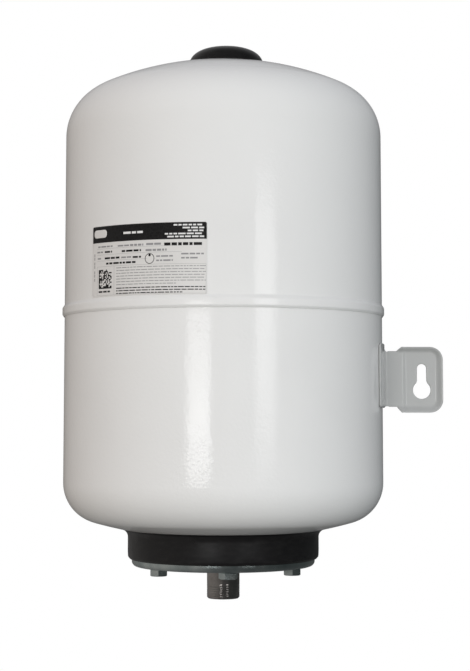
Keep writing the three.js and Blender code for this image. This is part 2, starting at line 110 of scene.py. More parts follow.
def arc(centre_r, centre_z, radius, start, end, steps):
    """Points (radius, z) on an arc, with angles in degrees from the outward direction."""
    angles = [math.radians(start + (end - start) * i / steps) for i in range(steps + 1)]
    return [(centre_r + radius * math.cos(a), centre_z + radius * math.sin(a)) for a in angles]


def rounded(corners, closed=True, steps=4):
    """A polyline whose corners (x, y, fillet) are rounded. A fillet of 0 keeps the corner."""
    result = []
    for i, (x, y, fillet) in enumerate(corners):
        here = Vector((x, y))
        ends = not closed and i in (0, len(corners) - 1)
        if ends or fillet == 0:
            result.append((x, y))
            continue
        before = (Vector(corners[i - 1][:2]) - here).normalized()
        after = (Vector(corners[(i + 1) % len(corners)][:2]) - here).normalized()
        half = before.angle(after) / 2
        reach = fillet / math.tan(half)
        centre = here + (before + after).normalized() * fillet / math.sin(half)
        start = here + before * reach - centre
        turn = (here + after * reach - centre).angle_signed(start)
        for k in range(steps + 1):
            angle = turn * k / steps
            spoke = Vector((
                start.x * math.cos(angle) - start.y * math.sin(angle),
                start.x * math.sin(angle) + start.y * math.cos(angle),
            ))
            result.append(tuple(centre + spoke))
    return result


def dense(points, step, closed=True):
    """The same polyline with no stretch longer than step."""
    result = []
    pairs = zip(points, points[1:] + (points[:1] if closed else []))
    for (ax, ay), (bx, by) in pairs:
        count = max(1, math.ceil(math.hypot(bx - ax, by - ay) / step))
        result += [(ax + (bx - ax) * k / count, ay + (by - ay) * k / count) for k in range(count)]
    return result if closed else result + [points[-1]]


def turned(name, profile, material, sides=192, warp=None, sharp=32.0):
    """A solid of revolution about +Z. A profile that doesn't start and end on the axis closes on itself.

    warp(angle, radius, z) can return a changed (radius, z)."""
    on_axis = profile[0][0] < 1e-9
    points, rings = [], []
    for radius, z in profile:
        if radius < 1e-9:
            rings.append([len(points)] * sides)
            points.append((0, 0, z))
            continue
        rings.append(list(range(len(points), len(points) + sides)))
        for i in range(sides):
            angle = TAU * i / sides
            r, h = warp(angle, radius, z) if warp else (radius, z)
            points.append((r * math.cos(angle), r * math.sin(angle), h))
    faces = []
    for ring, following in zip(rings, rings[1:] if on_axis else rings[1:] + rings[:1]):
        for i in range(sides):
            k = (i + 1) % sides
            corners = [ring[i], ring[k], following[k], following[i]]
            face = [c for n, c in enumerate(corners) if c not in corners[:n]]
            if len(face) > 2:
                faces.append(face)
    return build_mesh(name, points, faces, material, sharp)


def thread_warp(major_r, pitch, depth, start_z, end_z, run_out=1.5, crest=0.0):
    """A right-hand thread cut into the surface at major_r between two heights, fading out at the ends.

    crest is the share of the pitch that stays flat on top."""
    def warp(angle, radius, z):
        if abs(radius - major_r) > 0.02 or not start_z <= z <= end_z:
            return radius, z
        phase = ((z - start_z) / pitch - angle / TAU) % 1.0
        groove = max(0.0, 1 - abs(2 * phase - 1) - crest) / (1 - crest)
        rounded_groove = groove * groove * (3 - 2 * groove)
        fade = min(1.0, (z - start_z) / (run_out * pitch), (end_z - z) / (run_out * pitch))
        return radius - depth * rounded_groove * max(0.0, fade), z
    return warp


def hexagon_warp(flats, start_z, end_z):
    """Flats cut on everything wider than a hexagon between two heights."""
    def warp(angle, radius, z):
        if not start_z - 1e-6 <= z <= end_z + 1e-6:
            return radius, z
        across = (angle + math.pi / 6) % (math.pi / 3) - math.pi / 6
        return min(radius, flats / 2 / math.cos(across)), z
    return warp


def both(first, second):
    """Two warps, one after the other."""
    def warp(angle, radius, z):
        return second(angle, *first(angle, radius, z))
    return warp


def inside(point, outline):
    """Whether a point is inside an outline, by counting crossings."""
    x, y = point
    crossings = False
    for (ax, ay), (bx, by) in zip(outline, outline[1:] + outline[:1]):
        if (ay > y) != (by > y) and x < ax + (y - ay) / (by - ay) * (bx - ax):
            crossings = not crossings
    return crossings


def inset(outline, distance):
    """An outline moved inwards, or outwards where it is a hole's and the distance is negative."""
    area = sum(a[0] * b[1] - b[0] * a[1] for a, b in zip(outline, outline[1:] + outline[:1]))
    side = 1 if area > 0 else -1
    moved = []
    for i, point in enumerate(outline):
        before, after = Vector(outline[i - 1]), Vector(outline[(i + 1) % len(outline)])
        along = (after - before).normalized()
        moved.append(tuple(Vector(point) + Vector((-along.y, along.x)) * distance * side))
    return moved


def sheet(name, outline, holes, place, thickness, material, grid=1.0, edge=0.3):
    """A sheet cut to a flat outline with holes and bent by place(u, v), with its edges rounded.

    place gives the face's point, and the sheet's thickness goes back from it."""
    loops = [inset(outline, edge)] + [inset(hole, -edge) for hole in holes]
    rims = [outline] + holes
    flat, edges = [], []
    for loop in loops:
        first = len(flat)
        flat += loop
        edges += [(first + i, first + (i + 1) % len(loop)) for i in range(len(loop))]
    margin = grid * 0.45
    low = [min(p[k] for p in outline) for k in (0, 1)]
    high = [max(p[k] for p in outline) for k in (0, 1)]
    keep_in = inset(loops[0], margin)
    keep_out = [inset(loop, -margin) for loop in loops[1:]]
    for i in range(int((high[0] - low[0]) / grid) + 1):
        for k in range(int((high[1] - low[1]) / grid) + 1):
            point = (low[0] + (i + 0.5) * grid, low[1] + (k + 0.5) * grid)
            if inside(point, keep_in) and not any(inside(point, loop) for loop in keep_out):
                flat.append(point)
    spots, _, triangles, origins, _, _ = delaunay_2d_cdt([Vector(p) for p in flat], edges, [], 0, 1e-6)
    made_from = {source: made for made, sources in enumerate(origins) for source in sources}

    def kept(triangle):
        middle = tuple(sum(spots[c][k] for c in triangle) / 3 for k in (0, 1))
        return inside(middle, loops[0]) and not any(inside(middle, loop) for loop in loops[1:])

    def lifted(u, v, depth):
        nudge = 0.05
        across = Vector(place(u + nudge, v)) - Vector(place(u - nudge, v))
        up = Vector(place(u, v + nudge)) - Vector(place(u, v - nudge))
        return Vector(place(u, v)) - across.cross(up).normalized() * depth

    count = len(spots)
    points = [lifted(u, v, 0) for u, v in spots] + [lifted(u, v, thickness) for u, v in spots]
    triangles = [list(t) for t in triangles if kept(t)]
    faces = triangles + [[c + count for c in t] for t in triangles]
    first = 0
    for loop, rim in zip(loops, rims):
        front = len(points)
        points += [lifted(u, v, edge) for u, v in rim]
        back = len(points)
        points += [lifted(u, v, thickness - edge) for u, v in rim]
        size = len(loop)
        for i in range(size):
            k = (i + 1) % size
            a, b = made_from[first + i], made_from[first + k]
            faces.append([a, b, front + k, front + i])
            faces.append([front + i, front + k, back + k, back + i])
            faces.append([back + i, back + k, b + count, a + count])
        first += size
    used = sorted({c for face in faces for c in face})
    place_of = {c: i for i, c in enumerate(used)}
    faces = [[place_of[c] for c in face] for face in faces]
    return build_mesh(name, [points[c] for c in used], faces, material, sharp=50.0)


# ---------------------------------------------------------------- materials

def new_material(name, color, roughness, metallic=0.0, **sockets):
    """A Principled material with its uniform values on its own sockets, and its node tree to add to."""
    material = bpy.data.materials.new(name)
    material.use_nodes = True
    shader = material.node_tree.nodes["Principled BSDF"]
    shader.inputs["Base Color"].default_value = (*color, 1)
    shader.inputs["Roughness"].default_value = roughness
    shader.inputs["Metallic"].default_value = metallic
    for socket, value in sockets.items():
        shader.inputs[socket.replace("_", " ")].default_value = value
    return material


def coordinates(material, stretch=(1, 1, 1)):
    """The piece's own coordinates in metres, stretched along each axis."""
    tree = material.node_tree
    source = tree.nodes.new("ShaderNodeTexCoord")
    mapping = tree.nodes.new("ShaderNodeMapping")
    mapping.inputs["Scale"].default_value = stretch
    tree.links.new(source.outputs["Object"], mapping.inputs["Vector"])
    return mapping.outputs["Vector"]


def noise(material, scale, detail=2.0, stretch=(1, 1, 1), rough=0.5):
    """A noise pattern's factor. Scale counts features per metre."""
    tree = material.node_tree
    node = tree.nodes.new("ShaderNodeTexNoise")
    node.inputs["Scale"].default_value = scale
    node.inputs["Detail"].default_value = detail
    node.inputs["Roughness"].default_value = rough
    tree.links.new(coordinates(material, stretch), node.inputs["Vector"])
    return node.outputs["Fac"]


def ramp(material, factor, stops):
    """A colour ramp of (position, colour) stops."""
    tree = material.node_tree
    node = tree.nodes.new("ShaderNodeValToRGB")
    elements = node.color_ramp.elements
    while len(elements) < len(stops):
        elements.new(0.5)
    for element, (position, color) in zip(elements, stops):
        element.position = position
        element.color = (*color, 1)
    tree.links.new(factor, node.inputs["Fac"])
    return node.outputs["Color"]


def spread(material, factor, low, high):
    """The middle stretch of a noise factor spread over a range of values."""
    tree = material.node_tree
    node = tree.nodes.new("ShaderNodeMapRange")
    node.inputs["From Min"].default_value = 0.3
    node.inputs["From Max"].default_value = 0.7
    node.inputs["To Min"].default_value = low
    node.inputs["To Max"].default_value = high
    tree.links.new(factor, node.inputs["Value"])
    return node.outputs["Result"]


def drive(material, socket, output):
    """Feeds a pattern into one of the shader's sockets."""
    shader = material.node_tree.nodes["Principled BSDF"]
    material.node_tree.links.new(output, shader.inputs[socket])


def bump(material, *layers):
    """Bump from (factor, height in metres) layers, one on top of the other."""
    tree = material.node_tree
    normal = None
    for factor, height in layers:
        node = tree.nodes.new("ShaderNodeBump")
        node.inputs["Strength"].default_value = 1.0
        node.inputs["Distance"].default_value = height
        tree.links.new(factor, node.inputs["Height"])
        if normal:
            tree.links.new(normal, node.inputs["Normal"])
        normal = node.outputs["Normal"]
    drive(material, "Normal", normal)


def shade(color, factor):
    """A colour made lighter or darker."""
    return tuple(c * factor for c in color)


def enamel_material(name, color):
    """Glossy stoving enamel with orange peel and a little dust in it."""
    material = new_material(name, color, 0.12, Specular_IOR_Level=0.5)
    clouds = noise(material, 9, 3)
    drive(material, "Base Color", ramp(material, clouds, [
        (0.3, shade(color, 0.975)), (0.5, color), (0.7, shade(color, 1.01))]))
    drive(material, "Roughness", spread(material, noise(material, 60, 3), 0.08, 0.15))
    peel = noise(material, 420, 1.5, rough=0.45)
    drift = noise(material, 70, 2)
    bump(material, (peel, 0.00009), (drift, 0.00012))
    return material


def plastic_material():
    """Satin black moulded plastic with a fine grain and faint scuffs."""
    color = (0.008, 0.0076, 0.008)
    material = new_material("black_plastic", color, 0.36, Specular_IOR_Level=0.35)
    scuffs = noise(material, 120, 5, stretch=(1, 1, 3), rough=0.65)
    drive(material, "Base Color", ramp(material, scuffs, [
        (0.45, color), (0.7, (0.013, 0.0125, 0.0125)), (0.85, (0.03, 0.03, 0.03))]))
    drive(material, "Roughness", spread(material, noise(material, 90, 4), 0.26, 0.4))
    bump(material, (noise(material, 1800, 1), 0.00002), (scuffs, 0.00003))
    return material


def zinc_material():
    """Zinc plating: blue-grey, with soft blooms and fine drawing marks."""
    color = (0.56, 0.62, 0.615)
    material = new_material("zinc", color, 0.3, 1.0)
    blooms = noise(material, 55, 4)
    drive(material, "Base Color", ramp(material, blooms, [
        (0.3, (0.38, 0.44, 0.44)), (0.55, color), (0.75, (0.72, 0.76, 0.73))]))
    drive(material, "Roughness", spread(material, noise(material, 150, 4), 0.12, 0.28))
    bump(material, (noise(material, 900, 2), 0.00002))
    return material


def raw_steel_material():
    """Turned and drawn steel with a thin oxide."""
    material = new_material("raw_steel", (0.42, 0.42, 0.42), 0.4, 1.0)
    drive(material, "Base Color", ramp(material, noise(material, 80, 4), [
        (0.35, (0.28, 0.275, 0.27)), (0.6, (0.45, 0.45, 0.45))]))
    drive(material, "Roughness", spread(material, noise(material, 200, 3), 0.32, 0.52))
    bump(material, (noise(material, 300, 3, stretch=(1, 1, 8)), 0.00002))
    return material


def nickel_material():
    """Dark bright nickel with fine turning marks round the piece."""
    color = (0.42, 0.395, 0.375)
    material = new_material("nickel", color, 0.14, 1.0)
    drive(material, "Base Color", ramp(material, noise(material, 130, 4), [
        (0.35, shade(color, 0.8)), (0.6, color), (0.8, shade(color, 1.15))]))
    drive(material, "Roughness", spread(material, noise(material, 260, 3), 0.07, 0.12))
    bump(material, (noise(material, 150, 1, stretch=(1, 1, 10)), 0.000004))
    return material


def brass_material():
    """Turned brass, slightly dulled."""
    color = (0.72, 0.52, 0.24)
    material = new_material("brass", color, 0.25, 1.0)
    drive(material, "Base Color", ramp(material, noise(material, 220, 4), [
        (0.35, shade(color, 0.75)), (0.65, color)]))
    drive(material, "Roughness", spread(material, noise(material, 500, 3), 0.16, 0.34))
    bump(material, (noise(material, 400, 2, stretch=(1, 1, 10)), 0.000008))
    return material


def rubber_material(name, scale):
    """Moulded rubber with talc caught in its grain."""
    color = (0.018, 0.018, 0.02)
    material = new_material(name, color, 0.75)
    drive(material, "Base Color", ramp(material, noise(material, scale, 5), [
        (0.4, color), (0.75, (0.05, 0.05, 0.052))]))
    drive(material, "Roughness", spread(material, noise(material, scale * 2, 3), 0.6, 0.85))
    bump(material, (noise(material, scale * 8, 2), 0.00003))
    return material


def wire_material():
    """Drawn stainless wire."""
    material = new_material("spring_wire", (0.55, 0.55, 0.54), 0.28, 1.0)
    drive(material, "Roughness", spread(material, noise(material, 1500, 3), 0.2, 0.38))
    bump(material, (noise(material, 2500, 2), 0.000004))
    return material


def film_material():
    """Printed label film, slightly warmer than the enamel."""
    color = (0.7, 0.69, 0.67)
    material = new_material("label_film", color, 0.38, Specular_IOR_Level=0.4)
    drive(material, "Base Color", ramp(material, noise(material, 40, 3), [
        (0.35, shade(color, 0.97)), (0.65, color)]))
    drive(material, "Roughness", spread(material, noise(material, 120, 3), 0.32, 0.46))
    bump(material, (noise(material, 300, 2), 0.00003))
    return material


def ink_material(name, color):
    """Printing ink that doesn't cover evenly."""
    material = new_material(name, color, 0.35, Specular_IOR_Level=0.25)
    drive(material, "Base Color", ramp(material, noise(material, 900, 3), [
        (0.35, color), (0.75, tuple(min(1, c + 0.012) for c in color))]))
    drive(material, "Roughness", spread(material, noise(material, 300, 2), 0.3, 0.45))
    return material


ENAMEL = enamel_material("enamel", (0.78, 0.78, 0.765))
# The bracket has the tank's white enamel, painted darker grey here: painted shade for the shadow the tank
# casts over the bracket.
BRACKET_ENAMEL_PAINTED_SHADE = enamel_material("bracket_enamel_painted_shade", (0.47, 0.475, 0.465))
PLASTIC = plastic_material()
ZINC = zinc_material()
STEEL = raw_steel_material()
NICKEL = nickel_material()
BRASS = brass_material()
BUTYL = rubber_material("butyl_rubber", 60)
NITRILE = rubber_material("nitrile_rubber", 400)
WIRE = wire_material()
FILM = film_material()
BLACK_INK = ink_material("black_ink", (0.006, 0.0055, 0.0055))
GREY_INK = ink_material("grey_ink", (0.28, 0.28, 0.28))
WHITE_INK = ink_material("white_ink", (0.75, 0.75, 0.74))


def stands_for(piece, node, body="vessel"):
    """The fine piece takes the place of a CAD node and rides on its body."""
    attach(piece, body)
    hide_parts(node)
    return piece


# ---------------------------------------------------------------- tank

def dome_profile(dome, hole_r, depth):
    """Points from a dome's hole out to the tangent line, at a depth under the outer surface."""
    steps = 28
    reach = TANK_R - dome["knuckle_r"]
    span = dome["crown_r"] - dome["knuckle_r"]
    side = dome["side"]
    centre_z = dome["tangent_z"] - side * math.sqrt(span ** 2 - reach ** 2)
    meet = math.degrees(math.acos(reach / span))
    crown_r = dome["crown_r"] - depth
    hole = math.degrees(math.acos(hole_r / crown_r))
    crown = arc(0, centre_z, crown_r, side * hole, side * meet, steps)
    knuckle = arc(reach, dome["tangent_z"], dome["knuckle_r"] - depth, side * meet, 0, steps)
    return crown + knuckle[1:]


def ripple(angle, size):
    """A gentle unevenness round the seam, from a few waves of unlike lengths."""
    waves = ((17, 0.4), (31, 1.9), (53, 4.1), (88, 2.6))
    return size * sum(math.sin(count * angle + phase) for count, phase in waves) / len(waves)


def upper_shell():
    low, high = box("upper_shell")
    band_r = high.x - 0.1
    band_middle_z, band_reach = low.z + 4.5, 7.5
    inner_r = TANK_R + 0.2
    seam = rounded([
        (TANK_R, SEAM_TOP_Z + 6, 0),
        (TANK_R, SEAM_TOP_Z + 0.4, 2.2),
        (band_r, SEAM_TOP_Z - 2.2, 2.0),
        (band_r, low.z + 2.4, 1.8),
        (inner_r, low.z + 0.1, 0.2),
        (inner_r, box("lower_shell")[1].z + 0.3, 0),
        (TANK_R - WALL, SEAM_TOP_Z, 0),
    ], closed=False, steps=7)
    outer = dome_profile(UPPER_DOME, VALVE_HOLE_R, 0)
    inner = dome_profile(UPPER_DOME, VALVE_HOLE_R, WALL)

    def warp(angle, radius, z):
        in_band = max(0.0, 1 - abs(z - band_middle_z) / band_reach)
        if radius < TANK_R or z > SEAM_TOP_Z + 3:
            return radius, z
        return radius + ripple(angle, 0.1) * in_band, z + ripple(angle + 0.7, 0.22) * in_band

    profile = outer + [(TANK_R, z) for z in range(365, 245, -10)] + seam + inner[::-1]
    return turned("upper_shell_skin", profile, ENAMEL, sides=288, warp=warp)


def lower_shell():
    top = box("lower_shell")[1].z
    outer = dome_profile(LOWER_DOME, NECK_HOLE_R, 0)
    inner = dome_profile(LOWER_DOME, NECK_HOLE_R, WALL)
    wall = [(TANK_R, z) for z in range(100, 230, 10)]
    profile = outer + wall + [(TANK_R, top), (TANK_R - WALL, top)] + inner[::-1]
    return turned("lower_shell_skin", profile, ENAMEL, sides=288)


stands_for(upper_shell(), "upper_shell")
stands_for(lower_shell(), "lower_shell")


# ---------------------------------------------------------------- neck, collar, flange and screws

def bolt_places():
    """The screws' places round the flange, as (x, y)."""
    for i in range(BOLT_COUNT):
        angle = BOLT_FIRST_ANGLE + TAU * i / BOLT_COUNT
        yield BOLT_CIRCLE_R * math.cos(angle), BOLT_CIRCLE_R * math.sin(angle)


def cut_bolt_holes(piece, radius):
    """Cuts the screws' holes through a piece."""
    low, high = (Vector(piece.bound_box[k]) / MM for k in (0, 6))
    cutters = []
    for x, y in bolt_places():
        drill = [(0, low.z - 2), (radius, low.z - 2), (radius, high.z + 2), (0, high.z + 2)]
        cutter = turned("hole", drill, piece.data.materials[0], sides=32)
        cutter.location = Vector((x, y, 0)) * MM
        cutters.append(cutter)
        cut = piece.modifiers.new("hole", "BOOLEAN")
        cut.object = cutter
        cut.solver = "EXACT"
    bpy.context.view_layer.update()
    made = bpy.data.meshes.new_from_object(piece.evaluated_get(bpy.context.evaluated_depsgraph_get()))
    piece.modifiers.clear()
    piece.data = made
    for cutter in cutters:
        bpy.data.objects.remove(cutter)
    return piece


def neck_ring():
    low, high = box("neck_ring")
    flange_top = low.z + 8
    tube_r, bore_r, tapped_hole_r = 50.2, 47, 4.15
    profile = dense(rounded([
        (bore_r, low.z, 0.8),
        (high.x, low.z, 0.6),
        (high.x, flange_top, 0.6),
        (tube_r, flange_top, 1.2),
        (tube_r, high.z, 0.4),
        (bore_r, high.z, 0.4),
    ]), 4)
    return cut_bolt_holes(turned("neck_ring_turned", profile, STEEL, sides=144), tapped_hole_r)


def collar_ring():
    low, high = box("collar_ring")
    wall_r, inner_r = 77.5, 75.0
    flare_r, flare_end = 6.5, 108
    flare_z = high.z - flare_r * math.sin(math.radians(flare_end))
    lip = arc(wall_r + flare_r, flare_z, flare_r, 180, flare_end, 14)
    foot = rounded([
        (inner_r, low.z + 3, 0),
        (inner_r, low.z + 0.4, 0.3),
        (inner_r + 0.5, low.z, 0.3),
        (wall_r - 0.25, low.z + 1.9, 1.6),
        (wall_r, low.z + 6, 0),
    ], closed=False, steps=6)
    wall = [(wall_r, low.z + 6 + 2 * k) for k in range(1, 6)]
    inner = [(high.x - 0.5, high.z + 0.02), (inner_r, high.z - 1.4), (inner_r, low.z + 3)]
    profile = foot[1:] + wall + lip + inner
    return turned("collar_ring_moulded", profile, PLASTIC, sides=240)


def flange_plate():
    low, high = box("flange_plate")
    sheet_t, edge_r = 3.0, 4.0
    hole_r, screw_hole_r = 13.6, 4.5
    edge_centre = (high.x - edge_r, low.z + edge_r)
    profile = (
        [(hole_r, low.z + sheet_t), (hole_r, low.z + 0.3), (hole_r + 0.3, low.z)]
        + [(r, low.z) for r in (20, 30, 40, 50, 54, 68)]
        + arc(*edge_centre, edge_r, -90, 0, 16)
        + [(high.x, high.z - 0.4), (high.x - 0.4, high.z), (high.x - sheet_t, high.z)]
        + arc(*edge_centre, edge_r - sheet_t, 0, -90, 6)
        + [(r, low.z + sheet_t) for r in (68, 54, 40, 20)]
    )
    return cut_bolt_holes(turned("flange_plate_pressed", profile, ZINC, sides=240), screw_hole_r)


def water_connection():
    low, high = box("water_connection")
    thread_r = 13.22
    shoulder_z = high.z - 3
    thread_top, thread_depth = 12.5, 0.16
    outside = dense(rounded([
        (CONNECTION_BORE_R + 0.8, low.z, 0.2),
        (thread_r - 1.1, low.z, 0.3),
        (thread_r, low.z + 1.2, 0.4),
        (thread_r, thread_top + 1, 0),
    ], closed=False, steps=3), PIPE_PITCH / 12, closed=False)
    inside_line = rounded([
        (thread_r, thread_top + 1, 0),
        (thread_r, shoulder_z, 0.3),
        (high.x, shoulder_z, 0.4),
        (high.x, high.z, 0.4),
        (CONNECTION_BORE_R, high.z, 0.5),
        (CONNECTION_BORE_R, low.z + 0.8, 0),
    ], closed=False, steps=3)
    warp = thread_warp(thread_r, PIPE_PITCH, thread_depth, low.z + 0.6, thread_top, run_out=1.0, crest=0.5)
    profile = outside + inside_line[1:]
    return turned("water_connection_turned", profile, NICKEL, sides=144, warp=warp, sharp=50)


def flange_screw(i, x, y):
    """A hexagon screw: chamfered head with a washer face, and a threaded shank."""
    low, high = box(f"flange_bolt_{i + 1}")
    head_h = 5.3
    corner_r = BOLT_FLATS / math.sqrt(3)
    crown_r = BOLT_FLATS / 2 * 0.93
    chamfer_h = (corner_r - crown_r) * math.tan(math.radians(30))
    head_top = low.z + head_h
    washer_h = 0.45
    shank_r, shank_pitch, shank_depth = 4.0, 1.25, 0.68
    head = [(0, low.z), (crown_r * 0.5, low.z), (crown_r, low.z)]
    chamfer = dense([(crown_r, low.z), (corner_r + 0.01, low.z + chamfer_h)], 0.12, closed=False)
    side = [(corner_r + 0.01, head_top - washer_h), (BOLT_FLATS / 2 - 0.1, head_top - washer_h),
            (BOLT_FLATS / 2 - 0.25, head_top), (shank_r, head_top)]
    shank = dense([(shank_r, head_top), (shank_r, high.z - 0.9)], 0.125, closed=False)
    tip = [(shank_r - 0.8, high.z), (0, high.z)]
    warp = both(
        hexagon_warp(BOLT_FLATS, low.z, head_top - washer_h),
        thread_warp(shank_r, shank_pitch, shank_depth, head_top + 3, high.z, run_out=1.0),
    )
    profile = head + chamfer[1:] + side + shank[1:] + tip
    piece = turned(f"flange_screw_{i + 1}", profile, ZINC, sides=72, warp=warp)
    turn = math.radians(SCREW_TURNS[i])
    for vertex in piece.data.vertices:
        px, py, pz = vertex.co
        vertex.co = (
            px * math.cos(turn) - py * math.sin(turn) + x * MM,
            px * math.sin(turn) + py * math.cos(turn) + y * MM,
            pz,
        )
    return piece


stands_for(neck_ring(), "neck_ring")
stands_for(collar_ring(), "collar_ring")
stands_for(flange_plate(), "flange_plate")
stands_for(water_connection(), "water_connection")
for index, spot in enumerate(bolt_places()):
    stands_for(flange_screw(index, *spot), f"flange_bolt_{index + 1}")


# ---------------------------------------------------------------- wall bracket

def wall_bracket():
    """One sheet: a foot along the tank, a fold, a neck, a joggle and a dished end with a keyhole.

    The flat blank is drawn in u, which runs along the sheet from the fold, and v, which is the height."""
    thick, bend_r = 1.5, 3.0
    face_y, joggle = -0.75, 1.5
    foot_r = TANK_R + 0.3 + thick
    fold_y = face_y - bend_r
    fold_angle = math.asin(fold_y / foot_r)
    fold_x = foot_r * math.cos(fold_angle) + bend_r
    fold_length = bend_r * math.pi / 2
    front_angle = math.radians(-18)
    foot_length = (fold_angle - front_angle) * foot_r
    low_z, high_z = 154.9, 199.6
    foot_low_z, foot_high_z = 153.5, box("wall_bracket")[1].z
    joggle_x, joggle_run = 148.6, 3.2
    neck_end_x, flare_x = 142.2, 145.9
    floor_end_x, floor_corner = 174.9, 5.0
    edge_x, edge_corner = box("wall_bracket")[1].x - 1.0, 10.0
    edge_high_z, edge_low_z = 202.7, box("wall_bracket")[0].z + 1.1
    rise = 4.3

    def beyond(x, z, end_x, low, high, corner):
        """How far a point is outside a plate that has rounded corners and no left side."""
        dx = x - (end_x - corner)
        dz = max(z - (high - corner), (low + corner) - z)
        if dx > 0 and dz > 0:
            return math.hypot(dx, dz) - corner
        return max(dx, dz) - corner

    def dish(x, z):
        """How far the rim has risen towards the front at a point."""
        past_fold = beyond(x, z, floor_end_x, low_z, high_z, floor_corner)
        to_edge = -beyond(x, z, edge_x, edge_low_z, edge_high_z, edge_corner)
        width = max(0.5, past_fold + to_edge)
        share = past_fold / width
        bend = 0.3
        if share < -bend:
            return 0.0
        if share < bend:
            return rise * (share + bend) ** 2 / (4 * bend)
        return rise * share

    def place(u, v):
        if u < -fold_length:
            angle = fold_angle + (u + fold_length) / foot_r
            return foot_r * math.cos(angle), foot_r * math.sin(angle), v
        if u < 0:
            angle = math.pi / 2 - u / bend_r
            return fold_x + bend_r * math.cos(angle), fold_y + bend_r * math.sin(angle), v
        x = fold_x + u
        across = min(1.0, max(0.0, (x - joggle_x + joggle_run / 2) / joggle_run))
        step = joggle * across * across * (3 - 2 * across)
        return x, face_y + step - dish(x, v), v

    start = -fold_length - foot_length
    fold_end = -fold_length * 0.2
    outline = rounded([
        (start, foot_low_z, 3.5),
        (-fold_length, foot_low_z, 1.5),
        (fold_end, low_z, 1.5),
        (neck_end_x - fold_x, low_z, 1.0),
        (flare_x - fold_x, edge_low_z, 1.0),
        (edge_x - fold_x, edge_low_z, edge_corner),
        (edge_x - fold_x, edge_high_z, edge_corner),
        (flare_x - fold_x, edge_high_z, 1.0),
        (neck_end_x - fold_x, high_z, 1.0),
        (fold_end, high_z, 1.5),
        (-fold_length, foot_high_z, 1.5),
        (start, foot_high_z, 3.5),
    ], steps=8)
    hole_u, slot_z, round_z, slot_r, round_r = 162.9 - fold_x, 185.8, 168.2, 3.75, 7.2
    mouth = math.degrees(math.asin(slot_r / round_r))
    eased = mouth + 9
    mouth_z = round_z + round_r * math.cos(math.radians(mouth)) + 1.4
    slot = arc(hole_u, slot_z, slot_r, 0, 180, 24)
    circle = arc(hole_u, round_z, round_r, 90 + eased, 450 - eased, 48)
    keyhole = slot + [(hole_u - slot_r - 0.1, mouth_z)] + circle + [(hole_u + slot_r + 0.1, mouth_z)]
    return sheet(
        "wall_bracket_sheet", dense(outline, 0.7), [dense(keyhole, 0.7)], place, thick, BRACKET_ENAMEL_PAINTED_SHADE,
        grid=0.7, edge=0.5)


stands_for(wall_bracket(), "wall_bracket")


# ---------------------------------------------------------------- rating label

LABEL_R = TANK_R + 0.25
LABEL_LEFT_ANGLE = math.radians(-90 - 51)
LABEL_WIDTH = math.radians(51 - 5.3) * LABEL_R
LABEL_LOW_Z, LABEL_HIGH_Z = box("rating_label")[0].z, box("rating_label")[1].z
LABEL_HEIGHT = LABEL_HIGH_Z - LABEL_LOW_Z
LABEL_TILT = -0.012
INK_DEPTH = 0.035


def on_label(u, v, lift=0.0):
    """A point of the label, u along it from its left edge and v up from its lower edge."""
    angle = LABEL_LEFT_ANGLE + u / LABEL_R
    radius = LABEL_R + lift
    z = LABEL_LOW_Z + v + (u - LABEL_WIDTH / 2) * LABEL_TILT
    return radius * math.cos(angle), radius * math.sin(angle), z


def marks(name, bars, material, lift=0.0):
    """Printed bars (left, right, bottom, top), a hair proud of the label or of what is lifted off it."""
    points, faces = [], []
    for left, right, bottom, top in bars:
        count = max(1, math.ceil((right - left) / 3))
        for i in range(count + 1):
            u = left + (right - left) * i / count
            first = len(points)
            points += [on_label(u, v, lift + depth) for v, depth in (
                (bottom, -0.01), (bottom, INK_DEPTH), (top, INK_DEPTH), (top, -0.01))]
            if i == 0:
                faces.append([first, first + 1, first + 2, first + 3])
            else:
                faces += [[first - 4 + k, first - 4 + (k + 1) % 4, first + (k + 1) % 4, first + k]
                          for k in range(4)]
            if i == count:
                faces.append([first + 3, first + 2, first + 1, first])
    return build_mesh(name, points, faces, material)


def words(draw, left, right, v, height, shortest=1.5, longest=7.0, gap=0.8):
    """A row of bars that stand for words, from left to right at a height."""
    u = left
    while u < right - shortest * 0.6:
        end = min(right, u + draw.uniform(shortest, longest))
        yield u, end, v - height / 2, v + height / 2
        u = end + gap


